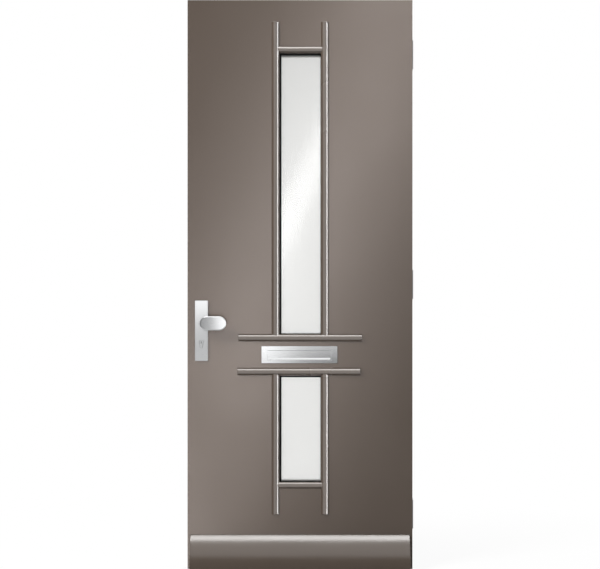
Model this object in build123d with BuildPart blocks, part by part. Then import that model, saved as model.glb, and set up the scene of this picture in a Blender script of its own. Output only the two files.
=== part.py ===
"""Insulated front door leaf with two glass lights, letter plate, lock fittings and three butt hinges."""
import os
from math import cos, radians, sin, sqrt

from build123d import *

# Leaf: skins bonded over a foam core inside a frame of stiles and rails
leaf_width = 930
leaf_height = 2353
leaf_thick = 68
skin = 2
hinge_stile_width = 60
lock_stile_width = 105
top_rail_height = 70
bottom_rail_height = 120

# Hinges: butt hinges on the room side of the right edge, the middle one at half height
foot_hinge_rise = 220
head_hinge_drop = 220
hinge_height = 120
hinge_plate_width = 35
hinge_plate = 3
edge_gap = 3
knuckle_radius = 7
knuckle_clear = 0.5
knuckle_count = 3
knuckle_play = 0.4
pin_radius = 4
pin_play = 0.05
pin_head_radius = 6
pin_head_height = 4
pin_head_bevel = 2
hinge_screw_radius = 2.75
hinge_screw_across = 16
hinge_screw_along = 84

# Letter plate and the two crossbars, one above it and one below
letter_z = 886.5
letter_x = -2.5
crossbar_offset = 70
upper_cross_length = 510
lower_cross_length = 508
lower_cross_x = -5

# Half-round bars planted on the outer skin
bar_width = 31
bar_rise = 12
cross_rise = 15
short_bar_width = 27
short_bar_rise = 9
bar_end_bevel = 2
bar_x = 102
cope_gap = 0.2
upper_bar_head_drop = 91
lower_bar_foot = 227

# Glass lights: the bars lap over them to the right and below, and leave a margin to the left and above
light_tuck = 6.5
light_margin = 1.5
light_head_drop = 219
lower_light_foot = 353.5
liner_lip = 8
liner_lip_depth = 10
liner_wall = 2
gasket_show = 7.5
outer_gasket = 4
inner_gasket = 3
pane_thick = 6
spacer_depth = 16
spacer_width = 7
spacer_inset = 3
pane_play = 2
bead_play = 0.2
bead_proud = 2
bead_bevel = 6

# Letter plate, flap, sleeve and inner frame
letter_width = 313
letter_height = 70
letter_thick = 4
letter_edge = 1.2
letter_corner = 2
slot_width = 262
slot_height = 42
slot_drop = 3.5
slot_bevel = 2
flap_lap = 2
flap_thick = 2.5
flap_play = 0.3
flap_barrel = 3.5
flap_pivot_up = 5
flap_pin_radius = 1.75
flap_lip_up = 4
flap_lip_height = 8
flap_lip_out = 3
flap_lip_inset = 3
flap_ear = 3
flap_ear_play = 0.8
flap_ear_depth = 8.5
sleeve_width = 284
sleeve_height = 65.5
sleeve_wall = 1.5
inner_letter_thick = 3

# Handle plates, knob, lever and cylinder, set in from the lock edge by the backset
backset = 57.5
handle_z = 1017.5
plate_width = 54
plate_height = 249
plate_drop = 31.75
plate_thick = 8
plate_corner = 3
plate_bevel = 1.5
cylinder_drop = 79.5
cylinder_radius = 8.5
cylinder_web = 10
cylinder_depth = 33
cylinder_proud = 1
cylinder_play = 0.3
key_slot = (2.2, 8)
key_slot_depth = 6
knob_length = 109
knob_height = 59
knob_thick = 15
knob_offset = 51
knob_stand = 32
knob_bevel = 4
knob_back_bevel = 5
knob_neck_offset = 8
knob_neck_radius = 10
knob_neck_foot = 15
knob_foot_thick = 3
rose_radius = 21
rose_thick = 5
rose_bevel = 1.5
lever_radius = 9.5
lever_reach = 52
lever_length = 124
lever_bend = 16
lever_tip_bevel = 3
spindle = 8

# Lock case, faceplate and bolts in the lock stile, hung from the handle's height
case_thick = 15
case_depth = 85
case_height = 190
case_drop = 42.5
face_width = 24
face_height = 240
face_thick = 3
latch_thick = 12
latch_height = 22
latch_rise = 25
latch_bevel = 11.5
latch_length = 38
dead_thick = 12
dead_height = 32
dead_drop = 60
dead_length = 38
bolt_play = 0.3

# Weather bar along the foot of the leaf
weather_inset = 12.5
weather_height = 142
weather_top = 5
weather_arc = 57
weather_reach = 55
weather_nose = 14
weather_wall = 3
weather_cap = 3

# Places that follow from the sizes above
hinge_heights = (foot_hinge_rise, leaf_height / 2, leaf_height - head_hinge_drop)
upper_cross_z = letter_z + crossbar_offset
lower_cross_z = letter_z - crossbar_offset
upper_bar_top = leaf_height - upper_bar_head_drop
light_left = -bar_x + bar_width / 2 + light_margin
light_right = bar_x - bar_width / 2 + light_tuck
light_width = light_right - light_left
light_x = (light_left + light_right) / 2
lights = {
    "upper": (upper_cross_z + bar_width / 2 - light_tuck, leaf_height - light_head_drop),
    "lower": (lower_light_foot, lower_cross_z - bar_width / 2 - light_margin),
}
top_short_z = lights["upper"][1] + light_margin + short_bar_width / 2
bottom_short_z = lights["lower"][0] + light_tuck - short_bar_width / 2
lock_x = backset - leaf_width / 2
knob_x = lock_x + knob_offset
knob_neck_x = lock_x + knob_neck_offset
cylinder_z = handle_z - cylinder_drop
plate_z = handle_z - plate_drop
case_z = handle_z - case_drop
latch_z = case_z + latch_rise
dead_z = case_z - dead_drop
weather_width = leaf_width - 2 * weather_inset

# Place of the leaf, measured from the middle frame hinge plate that holds the door
leaf_x = -(hinge_plate + edge_gap + leaf_width / 2)
room_y = hinge_plate_width / 2
face_y = room_y - leaf_thick
foot_z = -hinge_heights[1]
pivot_x = -(hinge_plate + edge_gap / 2)
pivot_y = room_y + knuckle_radius + knuckle_clear

os.makedirs("parts", exist_ok=True)


def save(part, name):
    part.label = name
    export_step(part, f"parts/{name}.step")


def front(depth):
    """Upright plane seen from outside, at a depth behind the outer face, with its origin at the foot of the leaf."""
    return Plane(origin=(leaf_x, face_y + depth, foot_z), x_dir=(1, 0, 0), z_dir=(0, -1, 0))


def side(x):
    """Upright plane across the leaf at a distance from its middle: depth is to the right, height is up."""
    return Plane(origin=(leaf_x + x, face_y, foot_z), x_dir=(0, 1, 0), z_dir=(1, 0, 0))


def light_size(grow):
    """Width of every light, made larger all round."""
    return light_width + 2 * grow


def light_box(low, high, grow=0):
    with Locations((light_x, (low + high) / 2)):
        Rectangle(light_size(grow), high - low + 2 * grow)


def sleeve_box(play=0):
    with Locations((letter_x, letter_z)):
        Rectangle(sleeve_width + 2 * play, sleeve_height + 2 * play)


def cylinder_outline(play=0):
    """Outline of the profile cylinder: a round plug housing over a narrower web."""
    web_foot = cylinder_depth - cylinder_radius - cylinder_web / 2
    with Locations((lock_x, cylinder_z)):
        Circle(cylinder_radius + play)
    with Locations((lock_x, cylinder_z - web_foot / 2)):
        Rectangle(cylinder_web + 2 * play, web_foot)
    with Locations((lock_x, cylinder_z - web_foot)):
        Circle(cylinder_web / 2 + play)


def hinge_notches(depth):
    """Rests for the door side hinge plates, sunk in the right edge and open to the room."""
    with BuildSketch(front(depth)) as notches:
        with Locations(*[(leaf_width / 2 - hinge_plate / 2, z) for z in hinge_heights]):
            Rectangle(hinge_plate, hinge_height)
    return notches.sketch


# Skins
with BuildPart() as outer_skin:
    with BuildSketch(front(0)):
        with Locations((0, leaf_height / 2)):
            Rectangle(leaf_width, leaf_height)
    extrude(amount=-skin)
    with BuildSketch(front(0)):
        for low, high in lights.values():
            light_box(low, high)
        sleeve_box()
        cylinder_outline(cylinder_play)
    extrude(amount=-skin, mode=Mode.SUBTRACT)
save(outer_skin.part, "outer_skin")

with BuildPart() as inner_skin:
    with BuildSketch(front(leaf_thick - skin)):
        with Locations((0, leaf_height / 2)):
            Rectangle(leaf_width, leaf_height)
    extrude(amount=-skin)
    with BuildSketch(front(leaf_thick - skin)):
        for low, high in lights.values():
            light_box(low, high, liner_lip)
        sleeve_box()
        cylinder_outline(cylinder_play)
        with Locations((lock_x, handle_z)):
            Circle(lever_radius)
    extrude(amount=-skin, mode=Mode.SUBTRACT)
    extrude(hinge_notches(leaf_thick - skin), amount=-skin, mode=Mode.SUBTRACT)
save(inner_skin.part, "inner_skin")

# Stiles and rails
frame_thick = leaf_thick - 2 * skin
case_depth_y = (leaf_thick - case_thick) / 2

with BuildPart() as hinge_stile:
    with BuildSketch(front(skin)):
        with Locations(((leaf_width - hinge_stile_width) / 2, leaf_height / 2)):
            Rectangle(hinge_stile_width, leaf_height)
    extrude(amount=-frame_thick)
    notches = hinge_notches(leaf_thick - hinge_plate_width)
    extrude(notches, amount=skin - hinge_plate_width, mode=Mode.SUBTRACT)
save(hinge_stile.part, "hinge_stile")

with BuildPart() as lock_stile:
    with BuildSketch(front(skin)):
        with Locations(((lock_stile_width - leaf_width) / 2, leaf_height / 2)):
            Rectangle(lock_stile_width, leaf_height)
    extrude(amount=-frame_thick)
    with BuildSketch(front(case_depth_y)):
        with Locations(((case_depth - leaf_width) / 2, case_z)):
            Rectangle(case_depth, case_height)
    extrude(amount=-case_thick, mode=Mode.SUBTRACT)
    with BuildSketch(front((leaf_thick - face_width) / 2)):
        with Locations(((face_thick - leaf_width) / 2, case_z)):
            Rectangle(face_thick, face_height)
    extrude(amount=-face_width, mode=Mode.SUBTRACT)
    with BuildSketch(front(skin)):
        cylinder_outline(cylinder_play)
    extrude(amount=-frame_thick, mode=Mode.SUBTRACT)
    with BuildSketch(front(leaf_thick / 2)):
        with Locations((lock_x, handle_z)):
            Circle(lever_radius)
    extrude(amount=skin - leaf_thick / 2, mode=Mode.SUBTRACT)
save(lock_stile.part, "lock_stile")

core_width = leaf_width - hinge_stile_width - lock_stile_width
core_x = (lock_stile_width - hinge_stile_width) / 2
for name, height, middle in (
    ("top_rail", top_rail_height, leaf_height - top_rail_height / 2),
    ("bottom_rail", bottom_rail_height, bottom_rail_height / 2),
):
    with BuildPart() as rail:
        with BuildSketch(front(skin)):
            with Locations((core_x, middle)):
                Rectangle(core_width, height)
        extrude(amount=-frame_thick)
    save(rail.part, name)

with BuildPart() as foam_core:
    core_height = leaf_height - top_rail_height - bottom_rail_height
    with BuildSketch(front(skin)):
        with Locations((core_x, bottom_rail_height + core_height / 2)):
            Rectangle(core_width, core_height)
    extrude(amount=-frame_thick)
    with BuildSketch(front(skin)):
        for low, high in lights.values():
            light_box(low, high, liner_lip + liner_wall)
        sleeve_box()
    extrude(amount=-frame_thick, mode=Mode.SUBTRACT)
save(foam_core.part, "foam_core")

# Glazing of each light: liner, gaskets, sealed double pane and beads
glass_depth = skin + liner_lip_depth + outer_gasket
inner_pane_depth = glass_depth + pane_thick + spacer_depth
inner_gasket_depth = inner_pane_depth + pane_thick
bead_depth = inner_gasket_depth + inner_gasket
pane_grow = liner_lip - pane_play

for name, (low, high) in lights.items():
    with BuildPart() as liner:
        with BuildSketch(front(skin)):
            light_box(low, high, liner_lip + liner_wall)
        extrude(amount=-frame_thick)
        with BuildSketch(front(skin)):
            light_box(low, high)
        extrude(amount=-frame_thick, mode=Mode.SUBTRACT)
        with BuildSketch(front(skin + liner_lip_depth)):
            light_box(low, high, liner_lip)
        extrude(amount=liner_lip_depth - frame_thick, mode=Mode.SUBTRACT)
    save(liner.part, f"{name}_light_liner")

    for gasket_name, depth, thick in (
        (f"{name}_outer_gasket", skin + liner_lip_depth, outer_gasket),
        (f"{name}_inner_gasket", inner_gasket_depth, inner_gasket),
    ):
        with BuildPart() as gasket:
            with BuildSketch(front(depth)):
                light_box(low, high, pane_grow)
            extrude(amount=-thick)
            with BuildSketch(front(depth)):
                light_box(low, high, -gasket_show)
            extrude(amount=-thick, mode=Mode.SUBTRACT)
        save(gasket.part, gasket_name)

    for pane_name, depth in ((f"{name}_outer_pane", glass_depth), (f"{name}_inner_pane", inner_pane_depth)):
        with BuildPart() as pane:
            with BuildSketch(front(depth)):
                light_box(low, high, pane_grow)
            extrude(amount=-pane_thick)
        save(pane.part, pane_name)

    with BuildPart() as spacer:
        with BuildSketch(front(glass_depth + pane_thick)):
            light_box(low, high, pane_grow - spacer_inset)
        extrude(amount=-spacer_depth)
        with BuildSketch(front(glass_depth + pane_thick)):
            light_box(low, high, pane_grow - spacer_inset - spacer_width)
        extrude(amount=-spacer_depth, mode=Mode.SUBTRACT)
    save(spacer.part, f"{name}_spacer")

    with BuildPart() as bead:
        bead_length = leaf_thick + bead_proud - bead_depth
        with BuildSketch(front(bead_depth)):
            light_box(low, high, liner_lip - bead_play)
        extrude(amount=-bead_length)
        with BuildSketch(front(bead_depth)):
            light_box(low, high, -gasket_show)
        extrude(amount=-bead_length, mode=Mode.SUBTRACT)
        room_face = bead.faces().sort_by(Axis.Y)[-1]
        chamfer(room_face.inner_wires()[0].edges(), bead_bevel)
    save(bead.part, f"{name}_inner_bead")


# Half-round bars, with ends scribed to the bars that they meet
def bar_section(x, z, upright, width, rise, play=0):
    """Flat-backed round section of a bar that runs up or to the right from its place on the leaf."""
    run = (0, 0, 1) if upright else (1, 0, 0)
    right = (-1, 0, 0) if upright else (0, 0, 1)
    with BuildSketch(Plane(origin=(leaf_x + x, face_y, foot_z + z), x_dir=right, z_dir=run)) as section:
        with BuildLine():
            ThreePointArc((-width / 2 - play, 0), (0, rise + play), (width / 2 + play, 0))
            Line((width / 2 + play, 0), (-width / 2 - play, 0))
        make_face()
    return section.sketch


upper_cross_left = -upper_cross_length / 2
lower_cross_left = lower_cross_x - lower_cross_length / 2
for name, left, middle, length in (
    ("upper_crossbar", upper_cross_left, upper_cross_z, upper_cross_length),
    ("lower_crossbar", lower_cross_left, lower_cross_z, lower_cross_length),
):
    with BuildPart() as crossbar:
        extrude(bar_section(left, middle, False, bar_width, cross_rise), amount=length)
        chamfer(crossbar.edges().filter_by(GeomType.CIRCLE), bar_end_bevel)
    save(crossbar.part, name)

for name, x, low, high, scribed_foot in (
    ("upper_left_bar", -bar_x, upper_cross_z, upper_bar_top, True),
    ("upper_right_bar", bar_x, upper_cross_z, upper_bar_top, True),
    ("lower_left_bar", -bar_x, lower_bar_foot, lower_cross_z, False),
    ("lower_right_bar", bar_x, lower_bar_foot, lower_cross_z, False),
):
    with BuildPart() as upright_bar:
        extrude(bar_section(x, low, True, bar_width, bar_rise), amount=high - low)
        ends = upright_bar.edges().filter_by(GeomType.CIRCLE).sort_by(Axis.Z)
        chamfer(ends[-1] if scribed_foot else ends[0], bar_end_bevel)
        cross_z = low if scribed_foot else high
        neighbour = bar_section(x - bar_width, cross_z, False, bar_width, cross_rise, cope_gap)
        extrude(neighbour, amount=2 * bar_width, mode=Mode.SUBTRACT)
        beyond = Plane.XY.offset(foot_z + cross_z)
        split(bisect_by=beyond, keep=Keep.TOP if scribed_foot else Keep.BOTTOM)
    save(upright_bar.part, name)

for name, middle in (("top_short_bar", top_short_z), ("bottom_short_bar", bottom_short_z)):
    with BuildPart() as short_bar:
        extrude(bar_section(-bar_x, middle, False, short_bar_width, short_bar_rise), amount=2 * bar_x)
        for x in (-bar_x, bar_x):
            neighbour = bar_section(x, middle - short_bar_width, True, bar_width, bar_rise, cope_gap)
            extrude(neighbour, amount=2 * short_bar_width, mode=Mode.SUBTRACT)
        split(bisect_by=Plane(origin=(leaf_x - bar_x, face_y, 0), z_dir=(1, 0, 0)), keep=Keep.TOP)
    save(short_bar.part, name)

# Letter plate with ears behind it for the flap's pin
slot_z = letter_z - slot_drop
pivot_up = slot_z + slot_height / 2 + flap_pivot_up
pivot_in = flap_play + flap_barrel
flap_width = slot_width + 2 * flap_lap
ear_x = flap_width / 2 + flap_ear_play + flap_ear / 2

with BuildPart() as letter_plate:
    with BuildSketch(front(0)):
        with Locations((letter_x, letter_z)):
            RectangleRounded(letter_width, letter_height, letter_corner)
    extrude(amount=letter_thick)
    chamfer(letter_plate.faces().sort_by(Axis.Y)[0].edges(), letter_edge)
    with BuildSketch(front(0)):
        with Locations((letter_x, slot_z)):
            Rectangle(slot_width, slot_height)
    extrude(amount=letter_thick, mode=Mode.SUBTRACT)
    chamfer(letter_plate.faces().sort_by(Axis.Y)[0].inner_wires()[0].edges(), slot_bevel)
    for ear in (-ear_x, ear_x):
        with BuildSketch(front(0)):
            with Locations((letter_x + ear, pivot_up)):
                Rectangle(flap_ear, 2 * flap_barrel)
        extrude(amount=-flap_ear_depth)
    with BuildSketch(side(letter_x - letter_width / 2)):
        with Locations((pivot_in, pivot_up)):
            Circle(flap_pin_radius + pin_play)
    extrude(amount=letter_width, mode=Mode.SUBTRACT)
save(letter_plate.part, "letter_plate")

with BuildPart() as flap_pin:
    pin_span = 2 * ear_x + flap_ear + 2 * flap_ear_play
    with BuildSketch(side(letter_x - pin_span / 2)):
        with Locations((pivot_in, pivot_up)):
            Circle(flap_pin_radius)
    extrude(amount=pin_span)
save(flap_pin.part, "flap_pin")

with BuildPart() as letter_flap:
    flap_foot = slot_z - slot_height / 2 - flap_lap
    with BuildSketch(side(letter_x - flap_width / 2)):
        with Locations((flap_play + flap_thick / 2, (flap_foot + pivot_up) / 2)):
            Rectangle(flap_thick, pivot_up - flap_foot)
        with Locations((pivot_in, pivot_up)):
            Circle(flap_barrel)
        with Locations((pivot_in, pivot_up)):
            Circle(flap_pin_radius + pin_play, mode=Mode.SUBTRACT)
    extrude(amount=flap_width)
    lip_foot = slot_z - slot_height / 2 + flap_lip_up
    with BuildSketch(front(flap_play)):
        with Locations((letter_x, lip_foot + flap_lip_height / 2)):
            Rectangle(slot_width - 2 * flap_lip_inset, flap_lip_height)
    extrude(amount=flap_lip_out)
    lip_face = letter_flap.faces().sort_by(Axis.Y)[0]
    chamfer(lip_face.edges().filter_by(Axis.X), flap_lip_out / 2)
save(letter_flap.part, "letter_flap")

with BuildPart() as letter_sleeve:
    with BuildSketch(front(0)):
        sleeve_box()
    extrude(amount=-leaf_thick)
    with BuildSketch(front(0)):
        sleeve_box(-sleeve_wall)
    extrude(amount=-leaf_thick, mode=Mode.SUBTRACT)
save(letter_sleeve.part, "letter_sleeve")

with BuildPart() as inner_letter_frame:
    with BuildSketch(front(leaf_thick)):
        with Locations((letter_x, letter_z)):
            RectangleRounded(letter_width, letter_height, letter_corner)
        with Locations((letter_x, slot_z)):
            Rectangle(slot_width, slot_height, mode=Mode.SUBTRACT)
    extrude(amount=-inner_letter_thick)
    chamfer(inner_letter_frame.faces().sort_by(Axis.Y)[-1].outer_wire().edges(), letter_edge)
save(inner_letter_frame.part, "inner_letter_frame")

# Handle plates on both faces, pierced for the profile cylinder
for name, depth, outwards in (("outer_handle_plate", 0, 1), ("inner_handle_plate", leaf_thick, -1)):
    with BuildPart() as handle_plate:
        with BuildSketch(front(depth)):
            with Locations((lock_x, plate_z)):
                RectangleRounded(plate_width, plate_height, plate_corner)
        extrude(amount=outwards * plate_thick)
        shown = handle_plate.faces().sort_by(Axis.Y)[0 if outwards > 0 else -1]
        chamfer(shown.edges(), plate_bevel)
        with BuildSketch(front(depth)):
            cylinder_outline(cylinder_play)
            if outwards < 0:
                with Locations((lock_x, handle_z)):
                    Circle(lever_radius + cylinder_play)
        extrude(amount=outwards * plate_thick, mode=Mode.SUBTRACT)
    save(handle_plate.part, name)

with BuildPart() as key_cylinder:
    cylinder_reach = leaf_thick + 2 * (plate_thick + cylinder_proud)
    with BuildSketch(front(-plate_thick - cylinder_proud)):
        cylinder_outline()
    extrude(amount=-cylinder_reach)
    with BuildSketch(front(-plate_thick - cylinder_proud)):
        with Locations((lock_x, cylinder_z)):
            Rectangle(*key_slot)
    extrude(amount=-key_slot_depth, mode=Mode.SUBTRACT)
    with BuildSketch(front(leaf_thick + plate_thick + cylinder_proud)):
        with Locations((lock_x, cylinder_z)):
            Rectangle(*key_slot)
    extrude(amount=key_slot_depth, mode=Mode.SUBTRACT)
save(key_cylinder.part, "key_cylinder")

# Fixed oval knob outside, on a waisted neck
with BuildPart() as outer_knob:
    with BuildSketch(front(-plate_thick - knob_stand)):
        with Locations((knob_x, handle_z)):
            SlotOverall(knob_length, knob_height)
    extrude(amount=knob_thick)
    chamfer(outer_knob.faces().sort_by(Axis.Y)[0].edges(), knob_bevel)
    chamfer(outer_knob.faces().sort_by(Axis.Y)[-1].edges(), knob_back_bevel)
    neck_start = (leaf_x + knob_neck_x, face_y, foot_z + handle_z)
    with BuildSketch(Plane(origin=neck_start, x_dir=(1, 0, 0), z_dir=(0, 0, 1))):
        with BuildLine():
            foot_y = -plate_thick
            flange_y = foot_y - knob_foot_thick
            head_y = foot_y - knob_stand - knob_back_bevel
            Polyline(
                (0, foot_y),
                (knob_neck_foot, foot_y),
                (knob_neck_foot, flange_y),
                (knob_neck_radius, flange_y - knob_foot_thick),
                (knob_neck_radius, head_y),
                (0, head_y),
                close=True,
            )
        make_face()
    revolve(axis=Axis(neck_start, (0, 1, 0)))
save(outer_knob.part, "outer_knob")

# Lever inside: a round bar bent away from its rose, with the square spindle behind it
with BuildPart() as inside_lever:
    plate_face = leaf_thick + plate_thick
    with BuildLine() as lever_path:
        start = (leaf_x + lock_x, face_y + plate_face, foot_z + handle_z)
        corner = (start[0], start[1] + lever_reach, start[2])
        tip = (start[0] + lever_length, corner[1], start[2])
        FilletPolyline(start, corner, tip, radius=lever_bend)
    with BuildSketch(Plane(origin=start, x_dir=(1, 0, 0), z_dir=(0, 1, 0))):
        Circle(lever_radius)
    sweep(path=lever_path.wires()[0])
    chamfer(inside_lever.faces().sort_by(Axis.X)[-1].edges(), lever_tip_bevel)
    with BuildSketch(front(plate_face)):
        with Locations((lock_x, handle_z)):
            Circle(rose_radius)
    extrude(amount=-rose_thick)
    rose_rim = inside_lever.edges().filter_by(GeomType.CIRCLE).group_by(SortBy.RADIUS)[-1].sort_by(Axis.Y)[-1]
    chamfer(rose_rim, rose_bevel)
    with BuildSketch(front(leaf_thick / 2)):
        with Locations((lock_x, handle_z)):
            Rectangle(spindle, spindle)
    extrude(amount=leaf_thick / 2 - plate_face)
save(inside_lever.part, "inside_lever")

# Lock case, faceplate and bolts
with BuildPart() as lock_case:
    with BuildSketch(front(case_depth_y)):
        with Locations(((case_depth + face_thick - leaf_width) / 2, case_z)):
            Rectangle(case_depth - face_thick, case_height)
        cylinder_outline(cylinder_play)
    extrude(amount=-case_thick)
    with BuildSketch(front(case_depth_y)):
        cylinder_outline(cylinder_play)
        with Locations((lock_x, handle_z)):
            Circle(spindle * sqrt(2) / 2 + cylinder_play)
    extrude(amount=-case_thick, mode=Mode.SUBTRACT)
    for z, thick, height, length in (
        (latch_z, latch_thick, latch_height, latch_length),
        (dead_z, dead_thick, dead_height, dead_length),
    ):
        with BuildSketch(side(face_thick - leaf_width / 2)):
            with Locations((leaf_thick / 2, z)):
                Rectangle(thick + 2 * bolt_play, height + 2 * bolt_play)
        extrude(amount=length, mode=Mode.SUBTRACT)
save(lock_case.part, "lock_case")

with BuildPart() as lock_faceplate:
    with BuildSketch(side(-leaf_width / 2)):
        with Locations((leaf_thick / 2, case_z)):
            Rectangle(face_width, face_height)
        with Locations((leaf_thick / 2, latch_z)):
            Rectangle(latch_thick + 2 * bolt_play, latch_height + 2 * bolt_play, mode=Mode.SUBTRACT)
        with Locations((leaf_thick / 2, dead_z)):
            Rectangle(dead_thick + 2 * bolt_play, dead_height + 2 * bolt_play, mode=Mode.SUBTRACT)
    extrude(amount=face_thick)
save(lock_faceplate.part, "lock_faceplate")

with BuildPart() as latch_bolt:
    with BuildSketch(side(-leaf_width / 2)):
        with Locations((leaf_thick / 2, latch_z)):
            Rectangle(latch_thick, latch_height)
    extrude(amount=latch_length)
    nose = latch_bolt.faces().sort_by(Axis.X)[0].edges().filter_by(Axis.Z).sort_by(Axis.Y)[0]
    chamfer(nose, latch_bevel)
save(latch_bolt.part, "latch_bolt")

with BuildPart() as dead_bolt:
    with BuildSketch(side(-leaf_width / 2)):
        with Locations((leaf_thick / 2, dead_z)):
            Rectangle(dead_thick, dead_height)
    extrude(amount=dead_length)
save(dead_bolt.part, "dead_bolt")


# Weather bar: a curved hollow section with a cap on each end
def weather_section(x, inset=0):
    """Section with its back on the leaf: a bow that slopes from its top edge and is upright at the nose."""
    reach = (weather_reach - weather_top) / (1 - cos(radians(weather_arc)))
    rise = (weather_height - weather_nose) / sin(radians(weather_arc))
    start = 180 - weather_arc
    with BuildSketch(side(x)) as section:
        with BuildLine():
            middle = (reach - weather_reach, weather_nose)
            bow = EllipticalCenterArc(middle, reach - inset, rise - inset, start_angle=start, arc_size=weather_arc)
            Polyline(bow @ 0, (-inset, (bow @ 0).Y), (-inset, inset), ((bow @ 1).X, inset), bow @ 1)
        make_face()
    return section.sketch


weather_left = -weather_width / 2
with BuildPart() as weather_bar:
    weather_length = weather_width - 2 * weather_cap
    extrude(weather_section(weather_left + weather_cap), amount=weather_length)
    hollow = weather_section(weather_left + weather_cap, weather_wall)
    extrude(hollow, amount=weather_length, mode=Mode.SUBTRACT)
save(weather_bar.part, "weather_bar")

with BuildPart() as weather_bar_caps:
    for x in (weather_left, -weather_left - weather_cap):
        extrude(weather_section(x), amount=weather_cap)
save(weather_bar_caps.part, "weather_bar_caps")

# Butt hinges: knuckles turn about a pin in front of the room face
knuckle_step = hinge_height / knuckle_count


def hinge_half(z, edge, first):
    """Plate beside the gap, with every second knuckle round the pin."""
    foot = foot_z + z - hinge_height / 2
    with BuildPart() as half:
        with BuildSketch(Plane.XY.offset(foot)):
            with Locations((edge + hinge_plate / 2, 0)):
                Rectangle(hinge_plate, hinge_plate_width)
        extrude(amount=hinge_height)
        for step in range(first, knuckle_count, 2):
            low = foot + step * knuckle_step + (knuckle_play / 2 if step > 0 else 0)
            high = foot + (step + 1) * knuckle_step - (knuckle_play / 2 if step + 1 < knuckle_count else 0)
            with BuildSketch(Plane.XY.offset(low)):
                with Locations((edge + hinge_plate / 2, (room_y + pivot_y) / 2)):
                    Rectangle(hinge_plate, pivot_y - room_y)
                with Locations((pivot_x, pivot_y)):
                    Circle(knuckle_radius)
            extrude(amount=high - low)
        with BuildSketch(Plane.XY.offset(foot)):
            with Locations((pivot_x, pivot_y)):
                Circle(pin_radius + pin_play)
        extrude(amount=hinge_height, mode=Mode.SUBTRACT)
    return half.part


frame_halves = [hinge_half(z, -hinge_plate, 0) for z in hinge_heights]
door_halves = [hinge_half(z, -2 * hinge_plate - edge_gap, 1) for z in hinge_heights]

with BuildPart() as frame_hinge_plates:
    add(frame_halves)
    for z in hinge_heights:
        with BuildSketch(Plane(origin=(0, 0, foot_z + z), x_dir=(0, 1, 0), z_dir=(1, 0, 0))):
            with GridLocations(hinge_screw_across, hinge_screw_along, 2, 2):
                Circle(hinge_screw_radius)
        extrude(amount=-hinge_plate, mode=Mode.SUBTRACT)
save(frame_hinge_plates.part, "frame_hinge_plates")

with BuildPart() as door_hinge_plates:
    add(door_halves)
save(door_hinge_plates.part, "door_hinge_plates")

with BuildPart() as hinge_pins:
    for z in hinge_heights:
        foot = foot_z + z - hinge_height / 2
        with BuildSketch(Plane.XY.offset(foot)):
            with Locations((pivot_x, pivot_y)):
                Circle(pin_radius)
        extrude(amount=hinge_height)
        with BuildSketch(Plane.XY.offset(foot + hinge_height)):
            with Locations((pivot_x, pivot_y)):
                Circle(pin_head_radius)
        extrude(amount=pin_head_height)
    rims = hinge_pins.edges().filter_by(GeomType.CIRCLE).group_by(SortBy.RADIUS)[-1].group_by(Axis.Z)
    for rim in rims[1::2]:
        chamfer(rim, pin_head_bevel)
save(hinge_pins.part, "hinge_pins")
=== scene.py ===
import bpy, bmesh
from math import pi, radians, degrees, asin, cos, sin, tan
from mathutils import Matrix, Vector


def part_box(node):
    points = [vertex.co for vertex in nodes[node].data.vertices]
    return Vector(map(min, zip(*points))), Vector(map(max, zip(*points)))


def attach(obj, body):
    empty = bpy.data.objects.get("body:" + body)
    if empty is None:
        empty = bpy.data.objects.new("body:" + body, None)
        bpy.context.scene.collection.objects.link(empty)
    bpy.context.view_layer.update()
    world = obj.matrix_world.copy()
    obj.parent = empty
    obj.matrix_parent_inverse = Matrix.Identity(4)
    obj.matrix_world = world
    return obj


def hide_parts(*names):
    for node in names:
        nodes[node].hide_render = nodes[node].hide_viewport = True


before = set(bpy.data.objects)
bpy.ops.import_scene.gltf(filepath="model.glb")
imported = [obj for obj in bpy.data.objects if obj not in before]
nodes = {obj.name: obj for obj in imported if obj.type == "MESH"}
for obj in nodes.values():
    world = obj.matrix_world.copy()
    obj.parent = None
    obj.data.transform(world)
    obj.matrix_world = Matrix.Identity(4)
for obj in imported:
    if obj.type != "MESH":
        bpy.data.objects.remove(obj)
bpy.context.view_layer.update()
print("stage: frame loaded,", len(nodes), "nodes")


# places that every piece is measured from, read from the frame
skinLow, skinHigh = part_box("outer_skin")
leaf = {
    "left": skinLow[0], "right": skinHigh[0], "foot": skinLow[2], "head": skinHigh[2],
    "face": skinLow[1], "room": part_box("inner_skin")[1][1],
}
leaf["middle"] = (leaf["left"] + leaf["right"]) / 2
leaf["height"] = leaf["head"] - leaf["foot"]


# small tools for the shader trees
def newMaterial(name):
    material = bpy.data.materials.new(name)
    material.use_nodes = True
    material.node_tree.nodes.clear()
    return material, material.node_tree


def addNode(tree, kind, at=(0, 0), **values):
    node = tree.nodes.new(kind)
    node.location = at
    for key, value in values.items():
        setattr(node, key, value)
    return node


def setInputs(node, **values):
    for key, value in values.items():
        node.inputs[key.replace("_", " ")].default_value = value


def srgb(red, green, blue):  # colour as a picture editor shows it, 0 to 255
    def linear(level):
        level = level / 255
        return level / 12.92 if level <= 0.04045 else ((level + 0.055) / 1.055) ** 2.4
    return (linear(red), linear(green), linear(blue), 1)


def newSurface(name):  # a material with one shader, which the finish then feeds
    material, tree = newMaterial(name)
    output = addNode(tree, "ShaderNodeOutputMaterial", (700, 0))
    shader = addNode(tree, "ShaderNodeBsdfPrincipled", (400, 0))
    tree.links.new(shader.outputs["BSDF"], output.inputs["Surface"])
    return material, tree, shader


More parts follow.
